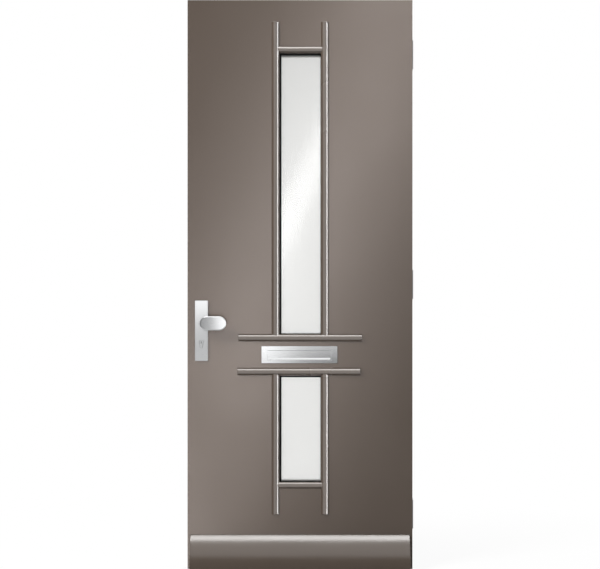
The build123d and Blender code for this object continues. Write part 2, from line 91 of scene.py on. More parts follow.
def addTone(tree, shader, factor, first, second):  # base colour that wanders between two
    tone = addNode(tree, "ShaderNodeMix", (0, 200), data_type="RGBA")
    tone.inputs["A"].default_value = srgb(*first)
    tone.inputs["B"].default_value = srgb(*second)
    tree.links.new(factor, tone.inputs["Factor"])
    tree.links.new(tone.outputs["Result"], shader.inputs["Base Color"])


def addRelief(tree, shader, height, settings):  # fine bump, its depth in metres
    bump = addNode(tree, "ShaderNodeBump", (100, -300))
    setInputs(bump, Strength=settings["bump"], Distance=settings["depth"])
    tree.links.new(height, bump.inputs["Height"])
    tree.links.new(bump.outputs["Normal"], shader.inputs["Normal"])


# shader groups that several finishes share
def newGroup(name, inputs, outputs):
    group = bpy.data.node_groups.new(name, "ShaderNodeTree")
    for label, kind, value in inputs:
        socket = group.interface.new_socket(name=label, in_out="INPUT", socket_type=kind)
        if value is not None:
            socket.default_value = value
    for label, kind in outputs:
        group.interface.new_socket(name=label, in_out="OUTPUT", socket_type=kind)
    return group


def makeOrangePeel():  # the fine ripple of sprayed lacquer, and a slow drift of its gloss
    group = newGroup("sprayedLacquer",
                     [("Vector", "NodeSocketVector", None), ("Ripple Scale", "NodeSocketFloat", 260.0),
                      ("Drift Scale", "NodeSocketFloat", 3.0), ("Roughness", "NodeSocketFloat", 0.4),
                      ("Drift", "NodeSocketFloat", 0.06)],
                     [("Height", "NodeSocketFloat"), ("Roughness", "NodeSocketFloat"), ("Dust", "NodeSocketFloat")])
    source = addNode(group, "NodeGroupInput", (-900, 0))
    result = addNode(group, "NodeGroupOutput", (500, 0))
    ripple = addNode(group, "ShaderNodeTexNoise", (-600, 200))
    setInputs(ripple, Detail=2.0, Roughness=0.5)
    drift = addNode(group, "ShaderNodeTexNoise", (-600, -100))
    setInputs(drift, Detail=3.0, Roughness=0.6)
    dust = addNode(group, "ShaderNodeTexNoise", (-600, -400))
    setInputs(dust, Scale=900.0, Detail=4.0, Roughness=0.7)
    spread = addNode(group, "ShaderNodeMapRange", (-300, -100))
    setInputs(spread, From_Min=0.3, From_Max=0.7, To_Min=-1.0, To_Max=1.0)
    scaled = addNode(group, "ShaderNodeMath", (-100, -100), operation="MULTIPLY")
    total = addNode(group, "ShaderNodeMath", (100, -100), operation="ADD")
    link = group.links.new
    for texture in (ripple, drift, dust):
        link(source.outputs["Vector"], texture.inputs["Vector"])
    link(source.outputs["Ripple Scale"], ripple.inputs["Scale"])
    link(source.outputs["Drift Scale"], drift.inputs["Scale"])
    link(drift.outputs["Fac"], spread.inputs["Value"])
    link(spread.outputs["Result"], scaled.inputs[0])
    link(source.outputs["Drift"], scaled.inputs[1])
    link(scaled.outputs[0], total.inputs[0])
    link(source.outputs["Roughness"], total.inputs[1])
    link(ripple.outputs["Fac"], result.inputs["Height"])
    link(total.outputs[0], result.inputs["Roughness"])
    link(dust.outputs["Fac"], result.inputs["Dust"])
    return group


def makeBrushing():  # long fine scratches along one direction of a brushed metal
    group = newGroup("brushedGrain",
                     [("Vector", "NodeSocketVector", None), ("Fineness", "NodeSocketFloat", 900.0),
                      ("Low", "NodeSocketFloat", 0.25), ("High", "NodeSocketFloat", 0.4)],
                     [("Grain", "NodeSocketFloat"), ("Roughness", "NodeSocketFloat")])
    source = addNode(group, "NodeGroupInput", (-900, 0))
    result = addNode(group, "NodeGroupOutput", (300, 0))
    grain = addNode(group, "ShaderNodeTexNoise", (-500, 100))
    setInputs(grain, Detail=5.0, Roughness=0.65)
    spread = addNode(group, "ShaderNodeMapRange", (-200, -100))
    setInputs(spread, From_Min=0.25, From_Max=0.75)
    link = group.links.new
    link(source.outputs["Vector"], grain.inputs["Vector"])
    link(source.outputs["Fineness"], grain.inputs["Scale"])
    link(grain.outputs["Fac"], spread.inputs["Value"])
    link(source.outputs["Low"], spread.inputs["To Min"])
    link(source.outputs["High"], spread.inputs["To Max"])
    link(grain.outputs["Fac"], result.inputs["Grain"])
    link(spread.outputs["Result"], result.inputs["Roughness"])
    return group


sprayedLacquer = makeOrangePeel()
brushedGrain = makeBrushing()


def objectVector(tree, scale=(1, 1, 1)):  # object coordinates, stretched for a grain
    coordinates = addNode(tree, "ShaderNodeTexCoord", (-1300, 0))
    mapping = addNode(tree, "ShaderNodeMapping", (-1100, 0))
    mapping.inputs["Scale"].default_value = scale
    tree.links.new(coordinates.outputs["Object"], mapping.inputs["Vector"])
    return mapping.outputs["Vector"]


# finishes
def lacquerFinish(name, settings):
    material, tree, shader = newSurface(name)
    link = tree.links.new
    lacquer = addNode(tree, "ShaderNodeGroup", (-700, 0), node_tree=sprayedLacquer)
    link(objectVector(tree), lacquer.inputs["Vector"])
    setInputs(lacquer, Ripple_Scale=settings["ripple"], Drift_Scale=settings["driftScale"],
              Roughness=settings["rough"], Drift=settings["drift"])
    speck = addNode(tree, "ShaderNodeMapRange", (-300, 200))
    setInputs(speck, From_Min=settings["speckFrom"], From_Max=settings["speckTo"], To_Min=0.0,
              To_Max=settings["speckAmount"])
    link(lacquer.outputs["Dust"], speck.inputs["Value"])
    addTone(tree, shader, speck.outputs["Result"], settings["colour"], settings["speck"])
    link(lacquer.outputs["Roughness"], shader.inputs["Roughness"])
    addRelief(tree, shader, lacquer.outputs["Height"], settings)
    setInputs(shader, Specular_IOR_Level=settings["specular"], Metallic=settings["metallic"])
    return material


def metalFinish(name, settings):
    material, tree, shader = newSurface(name)
    link = tree.links.new
    brushed = addNode(tree, "ShaderNodeGroup", (-700, 0), node_tree=brushedGrain)
    link(objectVector(tree, settings["stretch"]), brushed.inputs["Vector"])
    setInputs(brushed, Fineness=settings["fineness"], Low=settings["rough"][0], High=settings["rough"][1])
    addTone(tree, shader, brushed.outputs["Grain"], settings["dark"], settings["light"])
    link(brushed.outputs["Roughness"], shader.inputs["Roughness"])
    addRelief(tree, shader, brushed.outputs["Grain"], settings)
    setInputs(shader, Metallic=1.0)
    return material


def rubberFinish(name, settings):
    material, tree, shader = newSurface(name)
    pores = addNode(tree, "ShaderNodeTexNoise", (-600, 0))
    setInputs(pores, Scale=settings["pores"], Detail=4.0)
    tree.links.new(objectVector(tree), pores.inputs["Vector"])
    addTone(tree, shader, pores.outputs["Fac"], settings["colour"], settings["bloom"])
    addRelief(tree, shader, pores.outputs["Fac"], settings)
    setInputs(shader, Roughness=settings["rough"])
    return material


def glassFinish(name, settings):  # satin etched pane: light comes through it without a clear picture
    material, tree, shader = newSurface(name)
    link = tree.links.new
    etch = addNode(tree, "ShaderNodeTexNoise", (-600, 0))
    setInputs(etch, Scale=settings["etch"], Detail=3.0)
    link(objectVector(tree), etch.inputs["Vector"])
    spread = addNode(tree, "ShaderNodeMapRange", (-300, 0))
    setInputs(spread, To_Min=settings["rough"][0], To_Max=settings["rough"][1])
    link(etch.outputs["Fac"], spread.inputs["Value"])
    link(spread.outputs["Result"], shader.inputs["Roughness"])
    addRelief(tree, shader, etch.outputs["Fac"], settings)
    setInputs(shader, Base_Color=srgb(*settings["colour"]), Transmission_Weight=settings["clear"],
              IOR=settings["index"], Coat_Weight=settings["coat"], Coat_Roughness=settings["coatRough"])
    return material


taupe = {
    "colour": (84, 73, 64), "speck": (100, 88, 79), "speckFrom": 0.55, "speckTo": 0.75, "speckAmount": 0.25,
    "rough": 0.375, "drift": 0.03, "driftScale": 2.2, "ripple": 380.0, "bump": 0.08, "depth": 0.0002,
    "specular": 0.5, "metallic": 0.0,
}
satin = {"dark": (218, 219, 220), "light": (240, 241, 242), "bump": 0.03, "depth": 0.0001}
porous = {"bump": 0.2, "depth": 0.0002}
finishes = {
    "leafPaint": lacquerFinish("leafPaint", taupe),
    "barPaint": lacquerFinish("barPaint", {**taupe, "rough": 0.26, "ripple": 500.0}),
    "edgePaint": lacquerFinish("edgePaint", {**taupe, "rough": 0.5, "bump": 0.2}),
    "satinMetal": metalFinish("satinMetal", {
        **satin, "stretch": (120.0, 120.0, 1.0), "fineness": 50.0, "rough": (0.26, 0.34), "bump": 0.05}),
    "knobMetal": metalFinish("knobMetal", {
        **satin, "stretch": (1.0, 12.0, 12.0), "fineness": 80.0, "rough": (0.26, 0.32), "dark": (226, 227, 228)}),
    "plateMetal": metalFinish("plateMetal", {
        **satin, "stretch": (1.0, 120.0, 120.0), "fineness": 50.0, "rough": (0.17, 0.23)}),
    "steelMetal": metalFinish("steelMetal", {
        **satin, "stretch": (30.0, 30.0, 1.0), "fineness": 60.0, "rough": (0.28, 0.42), "dark": (188, 189, 191),
        "light": (214, 215, 216), "bump": 0.06}),
    # black rubber of the glazing gaskets; the dark strip of it that shows at the left and top of each pane also
    # stands in for painted shade in the glass recess there
    "gasket": rubberFinish("gasket", {
        **porous, "colour": (10, 10, 10), "bloom": (20, 20, 20), "pores": 900.0, "rough": 0.6}),
    "sleevePlastic": rubberFinish("sleevePlastic", {
        **porous, "colour": (38, 38, 39), "bloom": (52, 52, 52), "pores": 500.0, "rough": 0.5}),
    "foamCore": rubberFinish("foamCore", {
        **porous, "colour": (214, 200, 150), "bloom": (230, 218, 176), "pores": 300.0, "rough": 0.9}),
    "satinGlass": glassFinish("satinGlass", {
        "etch": 1200.0, "rough": (0.2, 0.26), "colour": (254, 254, 253), "clear": 0.95, "index": 1.5, "coat": 0.5,
        "coatRough": 0.1, "bump": 0.05, "depth": 0.0001}),
}
print("stage: finishes made")


# building tools: measures below are in mm from the leaf's middle, outer face and foot
facings = {  # where a piece's own right, up and front point to
    "out": ((1, 0, 0), (0, 0, 1), (0, -1, 0)),
    "room": ((-1, 0, 0), (0, 0, 1), (0, 1, 0)),
    "lock": ((0, -1, 0), (0, 0, 1), (-1, 0, 0)),
    "hinge": ((0, 1, 0), (0, 0, 1), (1, 0, 0)),
    "up": ((1, 0, 0), (0, 1, 0), (0, 0, 1)),
}
meshing = {"join": 1e-7, "flat": 0.2}  # metres that make two points one, degrees that let an edge go


def spot(x, depth, z):
    return Vector((leaf["middle"] + x / 1000, leaf["face"] + depth / 1000, leaf["foot"] + z / 1000))


def stand(bm, axes, start):  # turns a piece's own axes to these and moves its origin to the start
    turn = Matrix(axes).transposed().to_4x4()
    bmesh.ops.transform(bm, matrix=Matrix.Translation(start) @ turn, verts=bm.verts)
    return bm


def place(bm, facing, where):
    return stand(bm, facings[facing], spot(*where))


def everything(bm):
    return bm.verts[:] + bm.edges[:] + bm.faces[:]


def vertsIn(geom):
    return [part for part in geom if isinstance(part, bmesh.types.BMVert)]


def edgesIn(geom):
    return [part for part in geom if isinstance(part, bmesh.types.BMEdge)]


def levelEdges(bm):
    return [edge for edge in bm.edges if abs(edge.verts[0].co.z - edge.verts[1].co.z) < meshing["join"]]


def thicken(bm, height):
    grown = bmesh.ops.extrude_face_region(bm, geom=bm.faces[:])["geom"]
    bmesh.ops.translate(bm, vec=(0, 0, height / 1000), verts=vertsIn(grown))


def roundOver(bm, edges, radius, steps, clamp=False):
    bmesh.ops.bevel(bm, geom=edges, offset=radius / 1000, offset_type="OFFSET", affect="EDGES", segments=steps,
                    profile=0.5, material=-1, clamp_overlap=clamp)


def merge(parts):
    whole = bmesh.new()
    for part in parts:
        mesh = bpy.data.meshes.new("part")
        part.to_mesh(mesh)
        part.free()
        whole.from_mesh(mesh)
        bpy.data.meshes.remove(mesh)
    return whole


def arcKnots(centre, radius, start, end, pieces=1, whole=False):
    step = radians(end - start) / pieces
    reach = 4 / 3 * tan(step / 4) * radius
    knots = []
    for count in range(pieces if whole else pieces + 1):
        angle = radians(start) + count * step
        along = Vector((-sin(angle), cos(angle))) * reach
        knot = Vector(centre) + Vector((cos(angle), sin(angle))) * radius
        before = knot - along if whole or count > 0 else knot
        after = knot + along if whole or count < pieces else knot
        knots.append((knot, before, after))
    return knots


def cornerKnots(*points):
    return [(Vector(point),) * 3 for point in points]


def discLoop(centre, radius):
    return arcKnots(centre, radius, 0, 360, 4, whole=True)


def roundedLoop(centre, width, height, corner):
    x, y = width / 2 - corner, height / 2 - corner
    knots = []
    for right, up, start in ((x, -y, -90), (x, y, 0), (-x, y, 90), (-x, -y, 180)):
        knots += arcKnots((centre[0] + right, centre[1] + up), corner, start, start + 90)
    return knots


def crossLoop(reach, arm):
    corners = [(reach, -arm), (reach, arm), (arm, arm), (arm, reach), (-arm, reach), (-arm, arm),
               (-reach, arm), (-reach, -arm), (-arm, -arm), (-arm, -reach), (arm, -reach), (arm, -arm)]
    return cornerKnots(*corners)


def flatPiece(loops, thick, edge=0.0, rounds=3, fine=12):  # a plate cut along its loops, its back at zero
    outline = bpy.data.curves.new("outline", "CURVE")
    outline.dimensions = "2D"
    outline.fill_mode = "BOTH"
    outline.resolution_u = fine
    outline.extrude = (thick / 2 - edge) / 1000
    outline.bevel_depth = edge / 1000
    outline.bevel_resolution = rounds
    outline.offset = -edge / 1000
    for knots in loops:
        spline = outline.splines.new("BEZIER")
        spline.bezier_points.add(len(knots) - 1)
        spline.use_cyclic_u = True
        for point, (knot, before, after) in zip(spline.bezier_points, knots):
            point.handle_left_type = point.handle_right_type = "FREE"
            point.co = (*(knot / 1000), 0)
            point.handle_left = (*(before / 1000), 0)
            point.handle_right = (*(after / 1000), 0)
    holder = bpy.data.objects.new("outline", outline)
    mesh = bpy.data.meshes.new_from_object(holder)
    bm = bmesh.new()
    bm.from_mesh(mesh)
    bpy.data.objects.remove(holder)
    bpy.data.curves.remove(outline)
    bpy.data.meshes.remove(mesh)
    bmesh.ops.remove_doubles(bm, verts=bm.verts, dist=meshing["join"])
    bmesh.ops.dissolve_limit(bm, angle_limit=radians(meshing["flat"]), verts=bm.verts, edges=bm.edges)
    bmesh.ops.translate(bm, vec=(0, 0, thick / 2000), verts=bm.verts)
    return bm


def lathe(profile, steps=48):  # profile of (radius, height) turned about the height
    bm = bmesh.new()
    verts = [bm.verts.new((radius / 1000, 0, height / 1000)) for radius, height in profile]
    edges = [bm.edges.new(pair) for pair in zip(verts, verts[1:])]
    bmesh.ops.spin(bm, geom=verts + edges, cent=(0, 0, 0), axis=(0, 0, 1), dvec=(0, 0, 0), angle=2 * pi,
                   steps=steps, use_merge=True)
    bmesh.ops.remove_doubles(bm, verts=bm.verts, dist=meshing["join"])
    return bm


def block(width, height, thick, edge=0.3):  # a small bevelled block, its back at zero
    bm = bmesh.new()
    bmesh.ops.create_cube(bm, size=1)
    bmesh.ops.scale(bm, vec=(width / 1000, height / 1000, thick / 1000), verts=bm.verts)
    bmesh.ops.translate(bm, vec=(0, 0, thick / 2000), verts=bm.verts)
    roundOver(bm, bm.edges[:], edge, 2)
    return bm


def settle(name, bm, body, finish, replaced=(), sharp=35):
    bmesh.ops.remove_doubles(bm, verts=bm.verts, dist=meshing["join"])
    bmesh.ops.recalc_face_normals(bm, faces=bm.faces)
    mesh = bpy.data.meshes.new(name)
    bm.to_mesh(mesh)
    bm.free()
    mesh.polygons.foreach_set("use_smooth", [True] * len(mesh.polygons))
    mesh.set_sharp_from_angle(angle=radians(sharp))
    piece = bpy.data.objects.new(name, mesh)
    bpy.context.scene.collection.objects.link(piece)
    even = piece.modifiers.new("evenShading", "WEIGHTED_NORMAL")
    even.keep_sharp = True
    even.weight = 100
    bpy.context.view_layer.update()
    evened = bpy.data.meshes.new_from_object(piece.evaluated_get(bpy.context.evaluated_depsgraph_get()))
    piece.modifiers.clear()
    piece.data = evened
    piece.data.materials.append(finishes[finish])
    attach(piece, body)
    if replaced:
        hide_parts(*replaced)
    return piece


# half-round bars: a round rod cut flat at the back, its ends rounded over
barLook = {"around": 160, "endRound": 2.5, "endSteps": 4}


def barBody(width, rise, length):
    radius = (width ** 2 / 4 + rise ** 2) / (2 * rise)
    bm = bmesh.new()
    bmesh.ops.create_circle(bm, cap_ends=True, segments=barLook["around"], radius=radius / 1000)
    bmesh.ops.translate(bm, vec=(0, (rise - radius) / 1000, 0), verts=bm.verts)
    bmesh.ops.bisect_plane(bm, geom=everything(bm), plane_co=(0, 0, 0), plane_no=(0, -1, 0), clear_outer=True)
    thicken(bm, length)
    rims = [edge for edge in levelEdges(bm) if max(v.co.y for v in edge.verts) > meshing["join"]]
    roundOver(bm, rims, barLook["endRound"], barLook["endSteps"], clamp=True)
    return bm


def makeBar(node, alongX):
    low, high = [Vector(corner) * 1000 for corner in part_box(node)]
    size = high - low
    base = leaf["face"] * 1000
    bm = barBody(size.z if alongX else size.x, base - low.y, size.x if alongX else size.z)
    if alongX:
        axes, start = ((0, 0, -1), (0, -1, 0), (1, 0, 0)), (low.x, base, (low.z + high.z) / 2)
    else:
        axes, start = ((-1, 0, 0), (0, -1, 0), (0, 0, 1)), ((low.x + high.x) / 2, base, low.z)
    stand(bm, axes, Vector(start) / 1000)
    return settle(node + "_round", bm, "leaf", "barPaint", [node], sharp=50)


for node in ("upper_crossbar", "lower_crossbar", "top_short_bar", "bottom_short_bar"):
    makeBar(node, True)
for node in ("upper_left_bar", "upper_right_bar", "lower_left_bar", "lower_right_bar"):
    makeBar(node, False)
print("stage: bars planted")

# weather bar: a bow that slopes from its top edge and is upright at the nose, capped at both ends
weatherLook = {"top": 5, "arc": 57, "nose": 14, "noseRound": 3, "cap": 3, "capRound": 0.6}


def weatherLoop(reach, height):
    nose, tuck, arc = weatherLook["nose"], weatherLook["noseRound"], radians(weatherLook["arc"])
    across, along = (reach - weatherLook["top"]) / (1 - cos(arc)), (height - nose) / sin(arc)
    bow = []
    for knot in arcKnots((0, 0), 1, 0, weatherLook["arc"], 2):
        bow.append(tuple(Vector((reach - across + point.x * across, nose + point.y * along)) for point in knot))
    foot = [(Vector((0, 0)),) * 3] + arcKnots((reach - tuck, tuck), tuck, -90, 0)
    return foot + bow + cornerKnots((0, height))


weatherLow, weatherHigh = [Vector(corner) * 1000 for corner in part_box("weather_bar_caps")]
weatherSize = weatherHigh - weatherLow
weatherShape = weatherLoop(weatherSize.y, weatherSize.z)
weatherLength = weatherSize.x - 2 * weatherLook["cap"]
weatherAxes = ((0, -1, 0), (0, 0, 1), (-1, 0, 0))  # drawn from the leaf outwards


def weatherRun(start, length, edge=0.0):
    return stand(flatPiece([weatherShape], length, edge, rounds=2, fine=40), weatherAxes, spot(start, 0, 0))


weatherBow = settle("weather_bar_bow", weatherRun(weatherLength / 2, weatherLength), "leaf",
                    "barPaint", ["weather_bar"], sharp=30)
capEnds = [weatherRun(end, weatherLook["cap"], weatherLook["capRound"])
           for end in (weatherSize.x / 2, weatherLook["cap"] - weatherSize.x / 2)]
weatherEnds = settle("weather_bar_ends", merge(capEnds), "leaf", "barPaint",
                     ["weather_bar_caps"], sharp=30)
print("stage: weather bar bowed")

# screws: a low countersunk head with a cross recess, and a disc that closes the recess below
screwLook = {
    "head": 4.2, "proud": 0.35, "recess": 0.9, "edge": 0.15, "cross": 2.1, "arm": 0.55, "disc": 3.78,
    "discThick": 0.3, "discDrop": 0.25,
}


def screwHead(facing, where):
    sink = screwLook["proud"] - screwLook["recess"]
    rim = flatPiece([discLoop((0, 0), screwLook["head"]), crossLoop(screwLook["cross"], screwLook["arm"])],
                    screwLook["recess"], screwLook["edge"], rounds=2, fine=8)
    disc = flatPiece([discLoop((0, 0), screwLook["disc"])], screwLook["discThick"], fine=8)
    bmesh.ops.translate(rim, vec=(0, 0, sink / 1000), verts=rim.verts)
    bmesh.ops.translate(disc, vec=(0, 0, (sink - screwLook["discDrop"]) / 1000), verts=disc.verts)
    return place(merge([rim, disc]), facing, where)


# handle plates, with the keyhole that the cylinder fills
lock = {
    "x": -407.5, "handleZ": 1017.5, "plateZ": 985.75, "cylinderZ": 938.0, "plateWidth": 54, "plateHeight": 249,
    "plateThick": 8, "corner": 3, "edge": 1.6, "leafThick": round((leaf["room"] - leaf["face"]) * 1000, 3),
    "plug": 8.5, "web": 10, "housing": 33, "gap": 0.4, "proud": 1.0, "screwAlong": 105,
}


def keyholeLoop(play=0.0):  # a round plug housing over a narrower web
    radius, half = lock["plug"] + play, lock["web"] / 2 + play
    dip = degrees(asin(half / radius))
    foot = lock["housing"] - lock["plug"] - lock["web"] / 2
    up = lock["cylinderZ"] - lock["plateZ"]
    return (arcKnots((0, up), radius, -90 + dip, 270 - dip, 4)
            + arcKnots((0, up - foot), half, 180, 360, 2))


plateLoop = roundedLoop((0, 0), lock["plateWidth"], lock["plateHeight"], lock["corner"])


def makePlate(facing, depth):
    metal = flatPiece([plateLoop, keyholeLoop(lock["gap"])], lock["plateThick"], lock["edge"], rounds=4)
    return place(metal, facing, (lock["x"], depth, lock["plateZ"]))


handlePlate = settle("outer_plate_satin", makePlate("out", 0), "leaf", "satinMetal",
                     ["outer_handle_plate"])
settle("inner_plate_satin", makePlate("room", lock["leafThick"]), "leaf", "satinMetal",
       ["inner_handle_plate"])
plateScrews = [screwHead("room", (lock["x"], lock["leafThick"] + lock["plateThick"], lock["plateZ"] + along))
               for along in (-lock["screwAlong"], lock["screwAlong"])]
settle("inner_plate_screws", merge(plateScrews), "leaf", "steelMetal")

# key cylinder: housing, turning plug and keyway at both ends, and the cam between them
cylinderLook = {
    "plugRadius": 6.6, "plugProud": 0.8, "keyWidth": 2.3, "keyHeight": 8.6, "keyDrop": 0.6, "keyCorner": 0.5,
    "edge": 0.3, "camSide": 12, "camThick": 8,
}
plugUp = lock["cylinderZ"] - lock["plateZ"]
keyway = roundedLoop((0, plugUp - cylinderLook["keyDrop"]), cylinderLook["keyWidth"], cylinderLook["keyHeight"],
                     cylinderLook["keyCorner"])
reach = lock["leafThick"] + 2 * (lock["plateThick"] + lock["proud"] - cylinderLook["plugProud"])
frontDepth = -lock["plateThick"] - lock["proud"]
housing = flatPiece([keyholeLoop(), keyway], reach, cylinderLook["edge"], rounds=2)
place(housing, "out", (lock["x"], lock["leafThick"] - frontDepth - cylinderLook["plugProud"], lock["plateZ"]))
plugs = []
for facing, depth in (("out", frontDepth), ("room", lock["leafThick"] - frontDepth)):
    plug = flatPiece([discLoop((0, plugUp), cylinderLook["plugRadius"]), keyway], 2 * cylinderLook["plugProud"],
                     cylinderLook["edge"], rounds=2)
    inwards = 2 * cylinderLook["plugProud"] * (1 if facing == "out" else -1)
    plugs.append(place(plug, facing, (lock["x"], depth + inwards, lock["plateZ"])))
cam = block(cylinderLook["camSide"], cylinderLook["camSide"], cylinderLook["camThick"])
place(cam, "out", (lock["x"], (lock["leafThick"] + cylinderLook["camThick"]) / 2, lock["cylinderZ"]))
cylinder = settle("cylinder_with_plugs", merge([housing, cam] + plugs), "leaf", "satinMetal",
                  ["key_cylinder"])
print("stage: plates and cylinder fitted")

# oval knob, crowned in front, on a waisted neck
knobLook = {
    "x": -356.5, "length": 109, "height": 59, "thick": 15, "front": -55, "edge": 6.0, "edgeSteps": 6,
    "crown": 2.8, "crownUp": 1.4, "around": 96, "cuts": 18, "neckX": -399.5, "neckAround": 64,
    "neck": [(0, 0), (14.4, 0), (15, 0.6), (15, 2.4), (14.4, 3), (12.2, 4.2), (10.8, 6.5), (10.1, 10), (10, 15),
             (10.3, 21), (11.2, 26.5), (13, 30.5), (15.5, 33), (15.5, 36), (0, 36)],
}


def makeKnob():
    bm = bmesh.new()
    radius, half = knobLook["height"] / 2000, (knobLook["length"] - knobLook["height"]) / 2000
    bmesh.ops.create_circle(bm, cap_ends=True, segments=knobLook["around"], radius=radius)
    bmesh.ops.rotate(bm, matrix=Matrix.Rotation(pi / knobLook["around"], 3, "Z"), verts=bm.verts)
    for side in (-1, 1):
        ends = [v for v in bm.verts if v.co.x * side > 0]
        bmesh.ops.translate(bm, vec=(side * half, 0, 0), verts=ends)
    thicken(bm, knobLook["thick"])
    roundOver(bm, levelEdges(bm), knobLook["edge"], knobLook["edgeSteps"], clamp=True)
    for count in range(1, knobLook["cuts"]):
        share = count / knobLook["cuts"] - 0.5
        for point, way in (((share * knobLook["length"] / 1000, 0, 0), (1, 0, 0)),
                           ((0, share * knobLook["height"] / 1000, 0), (0, 1, 0))):
            bmesh.ops.bisect_plane(bm, geom=everything(bm), plane_co=point, plane_no=way)
    thick = knobLook["thick"] / 1000
    for vert in bm.verts:
        lift = max(0.0, vert.co.z / thick * 2 - 1)
        across, up = vert.co.x / (half + radius), vert.co.y / radius
        vert.co.z -= lift * (knobLook["crown"] * across ** 2 + knobLook["crownUp"] * up ** 2) / 1000
    return place(bm, "out", (knobLook["x"], knobLook["front"] + knobLook["thick"], lock["handleZ"]))


neck = place(lathe(knobLook["neck"], knobLook["neckAround"]), "out",
             (knobLook["neckX"], -lock["plateThick"], lock["handleZ"]))
knob = settle("outer_knob_crowned", merge([makeKnob(), neck]), "leaf", "knobMetal",
              ["outer_knob"], sharp=40)

# lever inside: a round bar bent away from its rose, the rose turned from its own profile
leverLook = {
    "radius": 9.5, "around": 48, "reach": 52, "length": 124, "bend": 16, "bendSteps": 14, "tip": 3, "tipSteps": 5,
    "rose": [(0, 0), (21, 0), (21, 3.5), (20.5, 4.5), (19.5, 5), (12.5, 5), (11.7, 5.8), (10.1, 6), (0, 6)],
    "roseAround": 64,
}


def makeLever():
    bm = bmesh.new()
    ring = bmesh.ops.create_circle(bm, cap_ends=True, segments=leverLook["around"],
                                   radius=leverLook["radius"] / 1000)["verts"]
    edges = list({edge for vert in ring for edge in vert.link_edges})
    bend = leverLook["bend"] / 1000
    rise = leverLook["reach"] / 1000 - bend

    def grow(edges, along):
        grown = bmesh.ops.extrude_edge_only(bm, edges=edges)["geom"]
        bmesh.ops.translate(bm, vec=along, verts=vertsIn(grown))
        return [edge for edge in edgesIn(grown) if all(v in grown for v in edge.verts)]

    edges = grow(edges, (0, 0, rise))
    spun = bmesh.ops.spin(bm, geom=edges + list({v for edge in edges for v in edge.verts}),
                          cent=(-bend, 0, rise), axis=(0, 1, 0), dvec=(0, 0, 0), angle=-pi / 2,
                          steps=leverLook["bendSteps"])
    edges = grow(edgesIn(spun["geom_last"]), (bend - leverLook["length"] / 1000, 0, 0))
    cap = bmesh.ops.contextual_create(bm, geom=edges)["faces"]
    roundOver(bm, list(cap[0].edges), leverLook["tip"], leverLook["tipSteps"])
    rose = lathe(leverLook["rose"], leverLook["roseAround"])
    return place(merge([bm, rose]), "room", (lock["x"], lock["leafThick"] + lock["plateThick"], lock["handleZ"]))


settle("inside_lever_bent", makeLever(), "leaf", "satinMetal", ["inside_lever"], sharp=40)
print("stage: knob and lever made")

# letter plate with its sprung flap, and the frame inside
letter = {
    "x": -2.5, "z": 886.5, "width": 313, "height": 70, "thick": 4, "corner": 2, "edge": 0.5, "slotZ": 883.0,
    "slotWidth": 262, "slotHeight": 42, "slotCorner": 1, "flapWidth": 266, "flapFront": 0.3, "flapThick": 2.5,
    "flapBelow": 2, "flapRound": 0.4, "pivotZ": 909.0, "pivotDepth": 3.8, "barrel": 3.5, "barrelArc": (180, -40),
    "barrelDrop": 6, "groove": 1.6, "grooveDeep": 2.0, "lipZ": 869.2, "lipHeight": 8, "lipOut": 3, "lipTip": 0.7,
    "lipArc": (160, 300), "lipRoot": 0.8, "lipWidth": 256, "ear": 3, "earX": 135.3, "earDepth": 8.5,
    "innerThick": 3, "innerEdge": 1.0, "screwX": 144,
}
letterLoop = roundedLoop((0, 0), letter["width"], letter["height"], letter["corner"])
openLoop = roundedLoop((0, letter["slotZ"] - letter["z"]), letter["slotWidth"], letter["slotHeight"],
                       letter["slotCorner"])
letterFace = place(flatPiece([letterLoop, openLoop], letter["thick"], letter["edge"], rounds=4), "out",
                   (letter["x"], 0, letter["z"]))
ears = []
for side in (-1, 1):
    ear = block(letter["ear"], 2 * letter["barrel"], letter["earDepth"])
    ears.append(place(ear, "out", (letter["x"] + side * letter["earX"], letter["earDepth"], letter["pivotZ"])))
letterPlate = settle("letter_plate_satin", merge([letterFace] + ears), "leaf", "plateMetal",
                     ["letter_plate"])


def makeFlap():  # a sheet under its barrel, with a groove along the opening's upper edge and a finger lip
    front, back = letter["flapFront"], letter["flapFront"] + letter["flapThick"]
    corner, foot = letter["flapRound"], letter["slotZ"] - letter["slotHeight"] / 2 - letter["flapBelow"]
    crest, half = letter["slotZ"] + letter["slotHeight"] / 2, letter["groove"] / 2
    sheet = (cornerKnots((back, foot), (front + corner, foot))
             + arcKnots((front + corner, foot + corner), corner, 270, 180)
             + cornerKnots((front, crest - 2 * half), (front + letter["grooveDeep"], crest - half), (front, crest))
             + arcKnots((letter["pivotDepth"], letter["pivotZ"]), letter["barrel"], *letter["barrelArc"], 4)
             + cornerKnots((back, letter["pivotZ"] - letter["barrelDrop"])))
    flap = flatPiece([sheet], letter["flapWidth"], fine=10)
    high, low = letter["lipZ"] + letter["lipHeight"] / 2, letter["lipZ"] - letter["lipHeight"] / 2
    out, tip, root = front - letter["lipOut"], letter["lipTip"], letter["lipRoot"]
    pull = (cornerKnots((front + root, low + root), (front + root, high), (front, high))
            + arcKnots((out + tip, low + tip), tip, *letter["lipArc"], 2))
    bead = flatPiece([pull], letter["lipWidth"], fine=14)
    bmesh.ops.translate(bead, vec=(0, 0, (letter["flapWidth"] - letter["lipWidth"]) / 2000), verts=bead.verts)
    return stand(merge([flap, bead]), ((0, 1, 0), (0, 0, 1), (1, 0, 0)),
                 spot(letter["x"] - letter["flapWidth"] / 2, 0, 0))


